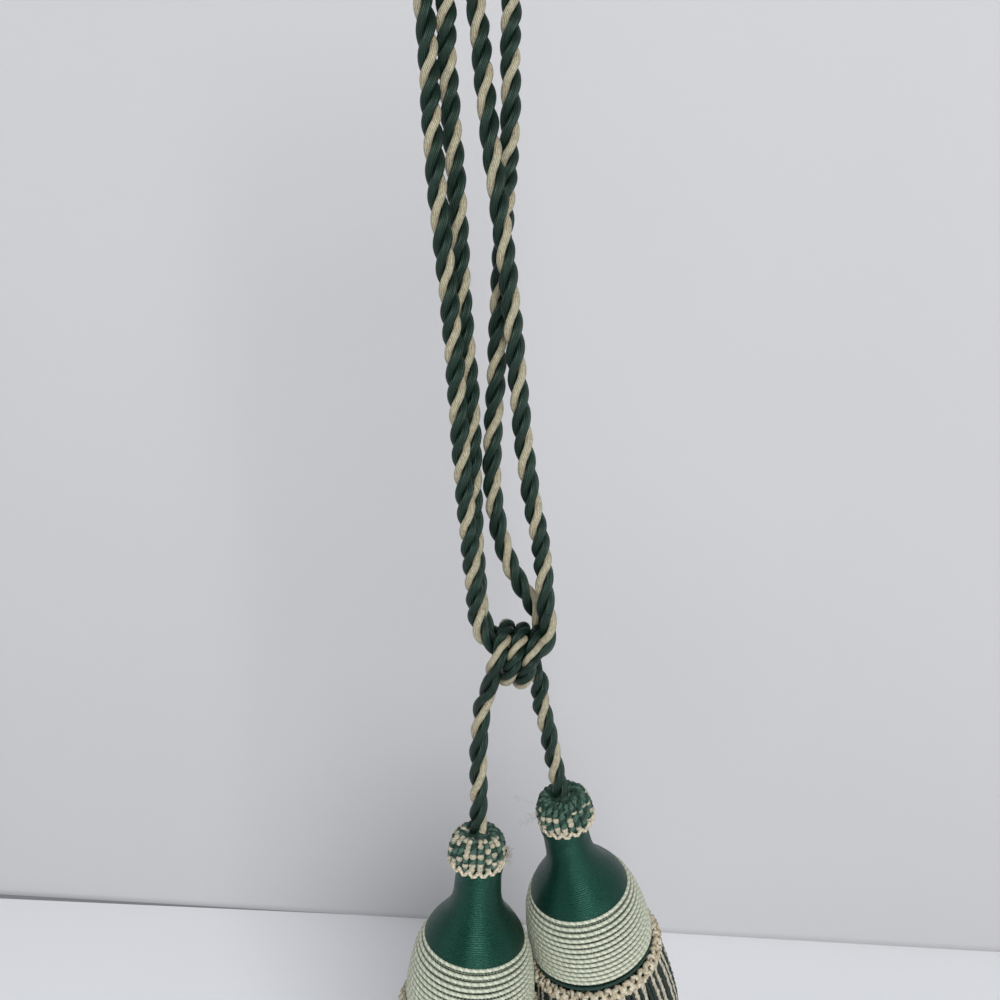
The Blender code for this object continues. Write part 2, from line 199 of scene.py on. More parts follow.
def carried_frame(line):
    """Two directions across the route at each sample, carried along it with the least turning."""
    ways = np.gradient(line, axis=0)
    ways /= np.linalg.norm(ways, axis=1)[:, None]
    across = np.empty_like(line)
    first = np.cross(ways[0], (0.0, 1.0, 0.0))
    across[0] = first / np.linalg.norm(first)
    for i in range(1, len(line)):
        moved = across[i - 1] - ways[i] * (across[i - 1] @ ways[i])
        across[i] = moved / np.linalg.norm(moved)
    return across, np.cross(ways, across)


# %% Turn the cream strand to the front at each mark
ROPE_LAY = 0.0262  # length of one whole turn of a strand


def strand_angles(line, across, beside, marks, twists=None):
    """The cream strand's angle at each sample, so that it faces the camera at each marked sample.

    twists are the whole turns before each mark, where they aren't simply the nearest to the lay.
    """
    lengths = lengths_along(line)
    at, angles = [], []
    for number, mark in enumerate(sorted(marks)):
        to_camera = np.array(CAMERA_PLACE) - line[mark]
        facing = math.atan2(to_camera @ beside[mark], to_camera @ across[mark])
        if angles:
            expected = angles[-1] + math.tau * (lengths[mark] - at[-1]) / ROPE_LAY
            if twists:
                expected = angles[-1] + math.tau * twists[number]
            fewest = math.ceil((angles[-1] - facing) / math.tau)
            facing += math.tau * max(round((expected - facing) / math.tau), fewest)
        at.append(lengths[mark])
        angles.append(facing)
    start = angles[0] - math.tau * at[0] / ROPE_LAY
    end = angles[-1] + math.tau * (lengths[-1] - at[-1]) / ROPE_LAY
    return np.interp(lengths, [0.0, *at, lengths[-1]], [start, *angles, end])


# %% Levels where the cream strand faces the front, z in millimetres
LOOP_MARKS = {
    # first arm, from the knot up; second arm, down to the knot
    "left_loop": ((-317, -296, -275, -181, -155, -129, -107), (-87, -109, -134, -161, -188)),
    "right_loop": ((-324, -296, -275, -169, -142, -114, -90), (-85, -108, -135, -158, -292)),
}
TIED_MARKS = (
    # x, y, z on the left drop, at the knot's front and on the right drop
    (7.4, -0.9, -389.6), (8.8, -2.4, -358.3),
    *knot_points(np.radians((116.0, 488.0, 838.0))),
    (34.8, 6.5, -360.7), (40.0, 7.6, -385.7),
)
TIED_TWISTS = (0, 1, 1, 4, 4, 2, 1)  # whole turns of the strands before each of these


def nearest(line, point):
    """The sample of the line that is nearest to the point."""
    return int(np.linalg.norm(line - np.array(point), axis=1).argmin())


def level_marks(line, levels):
    """Samples of a loop where each arm passes the levels."""
    top = int(line[:, 2].argmax())
    up = [int(np.abs(line[:top, 2] - z * MM).argmin()) for z in levels[0]]
    down = [top + int(np.abs(line[top:, 2] - z * MM).argmin()) for z in levels[1]]
    return up + down


lays = {}
for name, line in ROUTES.items():
    twists = TIED_TWISTS if name == "tied" else None
    if name == "tied":
        marks = [nearest(line, np.array(point) * MM) for point in TIED_MARKS]
    else:
        marks = level_marks(line, LOOP_MARKS[name])
    across, beside = carried_frame(line)
    angles = strand_angles(line, across, beside, marks, twists)
    lays[name] = (line, across, beside, angles)
    length = lengths_along(line)[-1] / MM
    turns = (angles[-1] - angles[0]) / math.tau
    print(f"{name}: {length:.0f} mm long, {turns:.1f} turns of {length / turns:.1f} mm")

# %% [markdown]
# ## One tree for every cord
#
# Rope strands, wound cord, gimp, picots and fringe are all the same thing at different sizes:
# threads spun round a line. One Geometry Nodes tree makes them all. It takes lines of points,
# gives each a round or two-ply section that turns along the line, and keeps for the materials
# where round the section and how far along the cord each point is. A waist of 1 is a round
# strand, and a smaller one pinches the section between two plies.


# %% Helpers that write node trees
def add_node(tree, kind, inputs=(), **settings):
    """A node of this kind, with its settings, and its inputs set to values or linked to sockets."""
    made = tree.nodes.new(kind)
    for key, value in settings.items():
        setattr(made, key, value)
    for key, value in dict(inputs).items():
        if isinstance(value, bpy.types.NodeSocket):
            tree.links.new(value, made.inputs[key])
        else:
            made.inputs[key].default_value = value
    return made


def made_by(tree, kind, inputs=(), **settings):
    """The first output of a new node."""
    return add_node(tree, kind, inputs, **settings).outputs[0]


def maths(tree, operation, *values, clamp=False):
    inputs = dict(enumerate(values))
    return made_by(tree, "ShaderNodeMath", inputs, operation=operation, use_clamp=clamp)


def new_tree(name, kind, inputs, outputs):
    """A node group with named sockets: rows of name, socket type and default value."""
    tree = bpy.data.node_groups.new(name, kind)
    for row in inputs:
        socket = tree.interface.new_socket(row[0], in_out="INPUT", socket_type=row[1])
        if len(row) > 2:
            socket.default_value = row[2]
    for row in outputs:
        tree.interface.new_socket(row[0], in_out="OUTPUT", socket_type=row[1])
    return tree, tree.nodes.new("NodeGroupInput").outputs, tree.nodes.new("NodeGroupOutput").inputs


# %% The spun cord tree
def named_value(tree, name):
    return add_node(tree, "GeometryNodeInputNamedAttribute", {"Name": name}).outputs["Attribute"]


def stored(tree, geometry, name, value, kind="FLOAT"):
    inputs = {"Geometry": geometry, "Name": name, "Value": value}
    return made_by(tree, "GeometryNodeStoreNamedAttribute", inputs, data_type=kind)


def spun_cord_tree():
    tree, given, result = new_tree(
        "spun_cord",
        "GeometryNodeTree",
        (
            ("Lines", "NodeSocketGeometry"),
            ("Radius", "NodeSocketFloat", 0.001),
            ("Ply Length", "NodeSocketFloat", 0.003),
            ("Waist", "NodeSocketFloat", 1.0),
            ("Sides", "NodeSocketInt", 8),
            ("Material", "NodeSocketMaterial"),
        ),
        (("Cord", "NodeSocketGeometry"),),
    )
    rail = made_by(tree, "GeometryNodeMeshToCurve", {"Mesh": given["Lines"]})
    along = add_node(tree, "GeometryNodeSplineParameter").outputs["Length"]
    rail = stored(tree, rail, "along", along)
    spin = maths(tree, "DIVIDE", maths(tree, "MULTIPLY", along, math.tau), given["Ply Length"])
    spin = maths(tree, "ADD", spin, named_value(tree, "turn"))
    rail = made_by(tree, "GeometryNodeSetCurveTilt", {"Curve": rail, "Tilt": spin})
    circle = {"Resolution": given["Sides"], "Radius": 1.0}
    ring = made_by(tree, "GeometryNodeCurvePrimitiveCircle", circle)
    place = made_by(tree, "GeometryNodeInputPosition")
    ring = stored(tree, ring, "around", place, "FLOAT_VECTOR")
    across = add_node(tree, "ShaderNodeSeparateXYZ", {0: place}).outputs["X"]
    ends = maths(tree, "MULTIPLY", across, across)
    lobes = made_by(tree, "ShaderNodeMix", {0: ends, 2: given["Waist"], 3: 1.0})
    pinch = {0: place, "Scale": lobes}
    shaped = made_by(tree, "ShaderNodeVectorMath", pinch, operation="SCALE")
    ring = made_by(tree, "GeometryNodeSetPosition", {"Geometry": ring, "Position": shaped})
    girth = maths(tree, "MULTIPLY", given["Radius"], named_value(tree, "girth"))
    sweep = {"Curve": rail, "Profile Curve": ring, "Scale": girth, "Fill Caps": True}
    swept = made_by(tree, "GeometryNodeCurveToMesh", sweep)
    swept = made_by(tree, "GeometryNodeSetShadeSmooth", {"Geometry": swept})
    swept = made_by(tree, "GeometryNodeRealizeInstances", {"Geometry": swept})
    finish = {"Geometry": swept, "Material": given["Material"]}
    swept = made_by(tree, "GeometryNodeSetMaterial", finish)
    tree.links.new(swept, result["Cord"])
    return tree


SPUN_CORD = spun_cord_tree()
print("tree:", SPUN_CORD.name, len(SPUN_CORD.nodes), "nodes")


# %% Lines of points in, one plain mesh out
def cord_line(points, tone=1.0, girth=1.0, turn=0.0):
    """A line of points with its tone, girth and starting turn.

    Each of these is one value, or one for each point.
    """
    points = np.array(points, float)
    values = (np.array(value, float) for value in (tone, girth, turn))
    return points, *(np.broadcast_to(value, len(points)) for value in values)


def keep_values(mesh, label, values, kind="FLOAT"):
    """Stores one value, or one vector, for each point of the mesh."""
    field = "vector" if kind == "FLOAT_VECTOR" else "value"
    attribute = mesh.attributes.new(label, kind, "POINT")
    attribute.data.foreach_set(field, np.asarray(values, np.float32).ravel())


def lines_mesh(name, lines):
    """All the lines as one mesh of points and edges, with the values that the tree reads."""
    counts = [len(line[0]) for line in lines]
    starts = np.concatenate([[0], np.cumsum(counts)[:-1]])
    edges = [(s + i, s + i + 1) for s, count in zip(starts, counts) for i in range(count - 1)]
    mesh = bpy.data.meshes.new(name)
    mesh.from_pydata(np.concatenate([line[0] for line in lines]), edges, [])
    for slot, label in enumerate(("tone", "girth", "turn"), start=1):
        keep_values(mesh, label, np.concatenate([line[slot] for line in lines]))
    return mesh


def made_with(tree, name, mesh, sizes, matter):
    """The mesh put through a tree whose named inputs get these sizes, then kept as a plain mesh."""
    obj = bpy.data.objects.new(name, mesh)
    bpy.context.scene.collection.objects.link(obj)
    modifier = obj.modifiers.new("make", "NODES")
    modifier.node_group = tree
    for socket in tree.interface.items_tree:
        if socket.in_out == "INPUT" and socket.name in sizes:
            modifier[socket.identifier] = sizes[socket.name]
        if socket.in_out == "INPUT" and socket.name == "Material":
            modifier[socket.identifier] = matter
    bpy.context.view_layer.update()
    done = bpy.data.meshes.new_from_object(obj.evaluated_get(bpy.context.evaluated_depsgraph_get()))
    done.name = name
    obj.modifiers.remove(modifier)
    obj.data = done
    return obj


def spun(name, lines, radius, matter, ply=0.003, waist=1.0, sides=8):
    """The lines as spun cords of this radius, with one twist of the plies in each ply length."""
    sizes = {"Radius": radius, "Ply Length": ply, "Waist": waist, "Sides": sides}
    obj = made_with(SPUN_CORD, name, lines_mesh(name, lines), sizes, matter)
    triangles = sum(len(face.vertices) - 2 for face in obj.data.polygons)
    print(f"{name}: {len(lines)} lines, {triangles} triangles")
    return obj


def belongs(obj, slot, *nodes):
    """The piece rides on the one body and stands for its CAD nodes, which it hides.

    The slot is not used.
    """
    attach(obj, BODY)
    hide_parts(*nodes)
    return obj


# %% [markdown]
# ## Yarn
#
# A strand isn't smooth: it is a bundle of fine yarns that lean the other way from the strand.
# Rather than model thousands of yarns, one node group turns the position round and along the
# cord into fine leaning ridges, and paints shade into the colour of the furrows between them.
# A little soft noise stands for the uneven dye and the nap. Every cord and the satin use this
# group with their own numbers of threads.

# %% The yarn node group
RIDGE_ROUNDNESS = 0.6
NAP_HEIGHT = 0.5


def mixed_colour(tree, share, first, second, blend="MIX"):
    inputs = {0: share, 6: first, 7: second}
    mix = add_node(tree, "ShaderNodeMix", inputs, data_type="RGBA", blend_type=blend)
    return mix.outputs[2]


def yarn_group():
    tree, given, result = new_tree(
        "yarn",
        "ShaderNodeTree",
        (
            ("Color", "NodeSocketColor"),
            ("Threads", "NodeSocketFloat", 12.0),
            ("Lean", "NodeSocketFloat", 800.0),
            ("Furrow", "NodeSocketFloat", 0.35),
            ("Mottle", "NodeSocketFloat", 0.25),
            ("Grain", "NodeSocketFloat", 900.0),
            ("Wander", "NodeSocketFloat", 1.0),
        ),
        (("Color", "NodeSocketColor"), ("Height", "NodeSocketFloat")),
    )
    around = add_node(tree, "ShaderNodeAttribute", attribute_name="around").outputs["Vector"]
    along = add_node(tree, "ShaderNodeAttribute", attribute_name="along").outputs["Fac"]
    parts = add_node(tree, "ShaderNodeSeparateXYZ", {0: around}).outputs
    angle = maths(tree, "ARCTAN2", parts["Y"], parts["X"])
    phase = maths(tree, "MULTIPLY", angle, given["Threads"])
    phase = maths(tree, "ADD", phase, maths(tree, "MULTIPLY", along, given["Lean"]))
    place = add_node(tree, "ShaderNodeTexCoord").outputs["Object"]
    grain = {"Vector": place, "Scale": given["Grain"], "Detail": 2.0}
    noise = made_by(tree, "ShaderNodeTexNoise", grain)
    phase = maths(tree, "ADD", phase, maths(tree, "MULTIPLY", noise, given["Wander"]))
    wave = maths(tree, "MULTIPLY_ADD", maths(tree, "SINE", phase), 0.5, 0.5)
    ridge = maths(tree, "POWER", wave, RIDGE_ROUNDNESS)
    hollow = maths(tree, "SUBTRACT", 1.0, ridge)
    # Painted shade: the colour is darkened in the furrows between the ridges, by the Furrow share.
    furrow = maths(tree, "SUBTRACT", 1.0, maths(tree, "MULTIPLY", hollow, given["Furrow"]))
    uneven = maths(tree, "SUBTRACT", noise, 0.5)
    strength = maths(tree, "MULTIPLY", given["Mottle"], 2.0)
    mottle = maths(tree, "MULTIPLY_ADD", uneven, strength, 1.0)
    shade = maths(tree, "MULTIPLY", furrow, mottle)
    grey = made_by(tree, "ShaderNodeCombineColor", {0: shade, 1: shade, 2: shade})
    colour = mixed_colour(tree, 1.0, given["Color"], grey, "MULTIPLY")
    tree.links.new(colour, result["Color"])
    nap = maths(tree, "MULTIPLY", noise, NAP_HEIGHT)
    tree.links.new(maths(tree, "ADD", ridge, nap), result["Height"])
    return tree


YARN = yarn_group()
print("group:", YARN.name, len(YARN.nodes), "nodes")


# %% A yarn material, from two colours that the tone mixes and two for its second ply
PLY_EDGE = 4.0  # how sharply one ply's colour meets the other's


def shader_inputs(material):
    return material.node_tree.nodes["Principled BSDF"].inputs


def yarn_material(name, dark, pale, dark_ply=None, pale_ply=None, *, finish, depth, **yarn):
    """finish is roughness, sheen and specular level; depth is the height of the yarn's ridges."""
    material = bpy.data.materials.new(name)
    material.use_nodes = True
    tree = material.node_tree
    shader = shader_inputs(material)
    tone = add_node(tree, "ShaderNodeAttribute", attribute_name="tone").outputs["Fac"]

    def toned(first, second):
        return mixed_colour(tree, tone, (*first, 1.0), (*second, 1.0))

    colour = toned(dark, pale)
    if dark_ply:
        around = add_node(tree, "ShaderNodeAttribute", attribute_name="around").outputs["Vector"]
        side = add_node(tree, "ShaderNodeSeparateXYZ", {0: around}).outputs["X"]
        ply = maths(tree, "MULTIPLY_ADD", side, PLY_EDGE, 0.5, clamp=True)
        colour = mixed_colour(tree, ply, colour, toned(dark_ply, pale_ply))
    spun_yarn = add_node(tree, "ShaderNodeGroup", node_tree=YARN)
    tree.links.new(colour, spun_yarn.inputs["Color"])
    # furrow is the share of painted shade in the furrows between the yarns.
    for key, value in yarn.items():
        spun_yarn.inputs[key.capitalize()].default_value = value
    relief = {"Height": spun_yarn.outputs["Height"], "Distance": depth, "Strength": 1.0}
    tree.links.new(spun_yarn.outputs["Color"], shader["Base Color"])
    tree.links.new(made_by(tree, "ShaderNodeBump", relief), shader["Normal"])
    roughness, sheen, specular = finish
    shader["Roughness"].default_value = roughness
    shader["Sheen Weight"].default_value = sheen
    shader["Sheen Roughness"].default_value = 0.5
    shader["Specular IOR Level"].default_value = specular
    print(f"{name}: roughness {roughness}, {yarn['threads']:.0f} threads round")
    return material


# %% The rope's yarn
ROPE_GREEN = (0.0042, 0.0132, 0.0090)
ROPE_CREAM = (0.440, 0.390, 0.270)
rope_yarn = yarn_material(
    "rope_yarn", ROPE_GREEN, ROPE_CREAM, finish=(0.42, 0.0, 0.5), depth=0.00022,
    threads=14.0, lean=1100.0, furrow=0.65, mottle=0.6,
)
shader_inputs(rope_yarn)["Specular Tint"].default_value = (0.60, 0.90, 0.75, 1.0)

# %% [markdown]
# ## Loops, drops and knot
#
# Each strand is a line that winds round its route at the lay just found, swept as a round
# strand by the spun cord tree. A thin core fills the middle, as in a maker's rope. In the knot
# the rope is pressed, so the strands there are a little thinner and lie a little closer.

# %% Wind the strands of a rope round its route, sizes in metres
ROPE_STEP = 0.001
STRANDS = 3
STRAND_OFFSET = 0.00220  # from the rope's middle to a strand's
STRAND_RADIUS = 0.00178
CREAM_GIRTH = 0.88  # of a green strand's radius
CORE_GIRTH = 0.55


def rope_part(name, start, end, pressed=None):
    """The strands, their core and the rope's middle, between two lengths along its route."""
    line, across, beside, angles = lays[name]
    lengths = lengths_along(line)
    at = np.linspace(start, end, round((end - start) / ROPE_STEP) + 1)

    def sampled(rows):
        return np.stack([np.interp(at, lengths, rows[:, i]) for i in range(3)], axis=1)

    middle, one, two = sampled(line), sampled(across), sampled(beside)
    girth = np.ones(len(at)) if pressed is None else pressed(at)
    strands = []
    for number in range(STRANDS):
        angle = np.interp(at, lengths, angles) + math.tau * number / STRANDS
        out = np.cos(angle)[:, None] * one + np.sin(angle)[:, None] * two
        tone = 1.0 if number == 0 else 0.0
        size = girth * (CREAM_GIRTH if number == 0 else 1.0)
        strands.append(cord_line(middle + STRAND_OFFSET * girth[:, None] * out, tone, size))
    strands.append(cord_line(middle, 0.0, CORE_GIRTH * girth))
    return strands, middle


def spun_rope(name, strands, *nodes):
    obj = spun(name, strands, STRAND_RADIUS, rope_yarn, ply=1.0, sides=12)
    return belongs(obj, "twisted_cord", *nodes)


# %% The two loops
LOOP_SPAN = 0.0260  # of each loop's end that belongs to the knot
for side in ("left", "right"):
    whole = lengths_along(ROUTES[f"{side}_loop"])[-1]
    strands, middle = rope_part(f"{side}_loop", LOOP_SPAN, whole - LOOP_SPAN)
    loop = spun_rope(f"loop_rope_{side}", strands, f"loop_cord_{side}")
    print(f"{loop.name}: {(whole - 2 * LOOP_SPAN) / MM:.0f} mm of rope")

# %% The two drops
KNOT_SPAN = 0.0100  # of each drop that belongs to the knot
tied = ROUTES["tied"]
tied_lengths = lengths_along(tied)
turns_route = np.array(knot_route()) * MM
knot_start = tied_lengths[nearest(tied, turns_route[0])] - KNOT_SPAN
knot_end = tied_lengths[nearest(tied, turns_route[-1])] + KNOT_SPAN
for side, start, end in (("left", 0.0, knot_start), ("right", tied_lengths[-1], knot_end)):
    strands, middle = rope_part("tied", min(start, end), max(start, end))
    drop = spun_rope(f"drop_rope_{side}", strands, f"drop_cord_{side}")
    print(f"{drop.name}: {abs(end - start) / MM:.0f} mm of rope")

# %% The knot between them
PRESSED = 0.87  # of the rope's girth, in the knot's turns
EASE_SPAN = 1.6 * KNOT_SPAN  # over which the rope narrows to that


def pressed_in_knot(at):
    """Full girth where the rope enters the knot, pressed all the way round its turns."""
    ease = np.clip(np.minimum(at - knot_start, knot_end - at) / EASE_SPAN, 0.0, 1.0)
    return 1.0 - (1.0 - PRESSED) * ease * ease * (3 - 2 * ease)


knot_strands = rope_part("tied", knot_start, knot_end, pressed_in_knot)[0]
for side in ("left", "right"):
    whole = lengths_along(ROUTES[f"{side}_loop"])[-1]
    knot_strands += rope_part(f"{side}_loop", 0.0, LOOP_SPAN)[0]
    knot_strands += rope_part(f"{side}_loop", whole - LOOP_SPAN, whole)[0]
spun_rope("knot_rope", knot_strands, "knot")

# %% [markdown]
# ## Tassel axes
#
# Each tassel hangs from its drop and leans a little against its neighbour. Everything below the
# drop is turned or laid round one leaning axis, so a helper takes a ring's radius, angle and
# depth below the neck and gives the point in the room.

# %% Axes and profiles, in millimetres
AXES = {
    # neck top, lean to the back and to the left in degrees, collar's shift
    "left": ((7.9, 0.0, -423.7), 2.89, 3.89, -1.3),
    "right": ((43.3, 10.5, -411.1), 10.26, -12.77, 2.0),
}
HEAD_ROWS = (
    # radius, depth
    (0.0, -2.6), (8.0, -2.6), (8.6, 3.0), (10.0, 4.0), (10.1, 9.0), (10.2, 14.0), (10.5, 19.0),
    (11.4, 23.4), (13.7, 28.0), (17.3, 32.6), (20.2, 36.6), (21.8, 39.6), (22.4, 41.5),
    (23.6, 48.0), (25.6, 58.0), (26.3, 69.0), (25.9, 76.0), (25.0, 84.0), (23.6, 89.8), (0.0, 89.8),
)
print("axes:", ", ".join(AXES))


# %% Points round a tassel's axis
def axis_matrix(side):
    place, back, left, _ = AXES[side]
    turn = Euler((math.radians(back), math.radians(left), 0.0)).to_matrix().to_4x4()
    return np.array(Matrix.Translation(Vector(place) * MM) @ turn)


def placed(side, points):
    """Points in millimetres round a tassel's axis, as points in the room."""
    matrix = axis_matrix(side)
    return (np.array(points, float) * MM) @ matrix[:3, :3].T + matrix[:3, 3]


def ring_points(angles, radii, depths, shift_x=0.0):
    """Points at these angles, radii and depths, in millimetres round the axis."""
    angles, radii, depths = np.broadcast_arrays(angles, radii, depths)
    return np.stack([radii * np.cos(angles) + shift_x, radii * np.sin(angles), -depths], axis=1)


def radius_at(rows, depths):
    """The radius at each depth, straight between the rows of radius and depth."""
    rows = np.array(rows)
    return np.interp(depths, rows[:, 1], rows[:, 0])


# %% [markdown]
# ## Satin heads
#
# A wooden mould is wound with fine satin thread, turn on turn, from the neck over the shoulder.
# The shape is turned, so it is a lathe of many steps in mesh code, and the threads are fine
# ridges round it from the yarn group. Thread wound this way throws its gloss across the turns,
# as a streak down the neck, and the shader's anisotropy, turned a quarter, does the same.


# %% Round off a profile
def rounded_profile(rows, step=0.9):
    """The profile's rows joined by a smooth curve, in steps of about this many millimetres."""
    rows = np.array([(radius, 0.0, depth) for radius, depth in rows])
    kept = [rows[:1]]
    for first, last in ((1, 2), (2, len(rows) - 2)):
        part = rows[first : last + 1]
        if len(part) > 2:
            part = smooth_route(part, samples=400) / MM
        lengths = lengths_along(part)
        at = np.linspace(0.0, lengths[-1], max(2, round(lengths[-1] / step) + 1))
        kept.append(np.stack([np.interp(at, lengths, part[:, i]) for i in range(3)], axis=1))
    kept.append(rows[-1:])
    joined = np.concatenate(kept)
    fresh = np.concatenate([[True], np.linalg.norm(np.diff(joined, axis=0), axis=1) > 1e-6])
    return joined[fresh][:, [0, 2]]


# %% Turn a mesh
def turned_mesh(name, rows, side, steps, shift_x=0.0):
    """A closed lathe with poles, and its place round and along kept for the yarn group."""
    rings = [row for row in rows if row[0] > 0]
    angles = np.arange(steps) * math.tau / steps
    points = [ring_points(angles, radius, depth, shift_x) for radius, depth in rings]
    poles = [(shift_x, 0.0, -rows[0][1]), (shift_x, 0.0, -rows[-1][1])]
    vertices = placed(side, np.concatenate([*points, poles]))
    top, bottom = len(rings) * steps, len(rings) * steps + 1
    faces = []
    for i in range(steps):
        j = (i + 1) % steps
        faces.append((top, i, j))
        faces.append((bottom, (len(rings) - 1) * steps + j, (len(rings) - 1) * steps + i))
        for ring in range(len(rings) - 1):
            above, below = ring * steps, (ring + 1) * steps
            faces.append((above + i, below + i, below + j, above + j))
    mesh = bpy.data.meshes.new(name)
    mesh.from_pydata(vertices, [], faces)
    round_it = np.zeros((len(vertices), 3), np.float32)
    round_it[:-2, 0] = np.tile(np.cos(angles), len(rings))
    round_it[:-2, 1] = np.tile(np.sin(angles), len(rings))
    depth = np.zeros(len(vertices), np.float32)
    depth[:-2] = np.repeat([row[1] * MM for row in rings], steps)
    depth[-2:] = rows[0][1] * MM, rows[-1][1] * MM
    keep_values(mesh, "around", round_it, "FLOAT_VECTOR")
    keep_values(mesh, "along", depth)
    keep_values(mesh, "tone", np.zeros(len(vertices)))
    mesh.shade_smooth()
    obj = bpy.data.objects.new(name, mesh)
    bpy.context.scene.collection.objects.link(obj)
    return obj


# %% The heads and their satin
HEAD_STEPS = 144
SATIN_GREEN = (0.0012, 0.0180, 0.0115)
satin_thread = yarn_material(
    "satin_thread", SATIN_GREEN, SATIN_GREEN, finish=(0.36, 0.0, 0.62), depth=0.00016,
    threads=2.0, lean=9000.0, furrow=0.15, mottle=1.1, grain=1300.0, wander=6.0,
)
satin = shader_inputs(satin_thread)
satin["Specular Tint"].default_value = (0.30, 0.88, 0.66, 1.0)
satin["Anisotropic"].default_value = 0.9
satin["Anisotropic Rotation"].default_value = 0.25
for side in AXES:
    head = turned_mesh(f"head_satin_{side}", rounded_profile(HEAD_ROWS), side, HEAD_STEPS)
    head.data.materials.append(satin_thread)
    belongs(head, "satin_thread", f"head_{side}")
    print(f"{head.name}: {len(head.data.polygons)} faces")

# %% [markdown]
# ## Wound bands
#
# Below the shoulder, a fine two-ply cord in cream and sage is wound round the head in fourteen
# courses. It is one line that follows the head's shape down as it goes round, which is how it
# is wound by hand, and the cord tree twists its two plies. A thinner, darker cord lies under
# the gaps and makes the furrows between the courses. Its dark sage is partly the thread's own
# colour and partly painted shade for those furrows.

# %% Wind the bands, sizes in millimetres
BAND_ROWS = (
    # radius, depth
    (21.9, 39.2), (24.1, 43.0), (26.2, 48.5), (27.9, 57.0),
    (28.8, 65.0), (29.0, 70.5), (28.4, 73.7),
)
BAND_COURSES = 14
BAND_POINTS = 314  # of the cord's line, in each turn
BAND_CORD_RADIUS = 0.92
INLAY_RADIUS = 0.52
INLAY_BELOW = 2.1 * INLAY_RADIUS  # from the band's face to the inlay's middle
INLAY_STEP = 3  # the inlay takes every third point
# Tone 0, the inlay's dark sage, is partly the thread's own colour and partly painted shade for the
# furrows between the courses.
wound_cord = yarn_material(
    "wound_cord", (0.22, 0.25, 0.19), (0.59, 0.61, 0.48), (0.18, 0.21, 0.16), (0.42, 0.46, 0.36),
    finish=(0.42, 0.0, 0.5), depth=0.00005, threads=8.0, lean=1500.0, furrow=0.3, mottle=0.25,
)
band_pitch = (BAND_ROWS[-1][1] - BAND_ROWS[0][1]) / BAND_COURSES
turn = np.linspace(0.0, BAND_COURSES - 1.0, (BAND_COURSES - 1) * BAND_POINTS + 1)
band_angles = turn * math.tau + math.pi / 2
band_depths = BAND_ROWS[0][1] + band_pitch * (turn + 0.5)
band_radii = radius_at(BAND_ROWS, band_depths) - BAND_CORD_RADIUS
gap_depths = band_depths[::INLAY_STEP] + band_pitch / 2
gap_radii = radius_at(BAND_ROWS, gap_depths) - INLAY_BELOW
for side in AXES:
    winding = placed(side, ring_points(band_angles, band_radii, band_depths))
    inlay = placed(side, ring_points(band_angles[::INLAY_STEP], gap_radii, gap_depths))
    # The inlay takes tone 0, whose darkness is partly painted shade.
    lines = [cord_line(winding), cord_line(inlay, 0.0, INLAY_RADIUS / BAND_CORD_RADIUS)]
    band = spun(
        f"band_wound_{side}", lines, BAND_CORD_RADIUS * MM, wound_cord, ply=0.0030, waist=0.80
    )
    belongs(band, "wound_fine_cord", f"band_{side}")

# %% [markdown]
# ## Collars
#
# A short ruche of two-ply gimp stands round the neck: ribs that start at the rope, arch over
# and run down to a frill of small cream picots. Each rib is one cord line over the collar's
# profile, which swells and pinches as a row of stitches does. The stitches are green at the
# top, and cream and green take turns below, from higher up on the left tassel than on the
# right. A turned core closes the gaps behind them.

# %% The collars' yarns
collar_gimp = yarn_material(
    "collar_gimp",
    (0.018, 0.055, 0.039), (0.53, 0.49, 0.37), (0.070, 0.140, 0.105), (0.42, 0.40, 0.30),
    finish=(0.8, 0.05, 0.2), depth=0.00014, threads=7.0, lean=1500.0, furrow=0.5, mottle=0.5,
)
picot_yarn = yarn_material(
    "picot_yarn", (0.30, 0.30, 0.22), (0.66, 0.60, 0.46), (0.25, 0.24, 0.17), (0.56, 0.49, 0.36),
    finish=(0.8, 0.05, 0.2), depth=0.0001, threads=8.0, lean=900.0, furrow=0.35, mottle=0.35,
)

# %% A rib of stitches, sizes in millimetres
COLLAR_RIBS = 22
RIB_RADIUS = 1.62
RIB_ROWS = (
    # radius, depth
    (4.9, -8.4), (6.3, -9.6), (8.6, -8.7), (10.3, -6.0), (11.2, -2.6), (11.2, 0.6), (10.9, 2.2),
)
RIB_GIRTHS = (0.55, 0.72, 0.92, 1.0, 1.0, 0.95, 0.8)  # down the rib, of its radius
RIB_STRAY = 0.12  # how far a rib may stand from its place, of the space between ribs
RIB_STITCHES = 8
STITCH_POINTS = 8
STITCH_START = 0.3  # how far a rib's stitches may start early or late, in stitches
STITCH_PINCH = 0.56  # girth between stitches
STITCH_SWELL = 0.46  # how much more there is at a stitch's middle
STITCH_ROUNDNESS = 0.6
SPARE_STITCHES = 3
SWAPPED = 0.35  # share of the stitches whose colour is swapped
CREAM_FROM = {"left": -8.8, "right": -6.2}  # depth where cream stitches start
CREAM_STRAY = 1.5


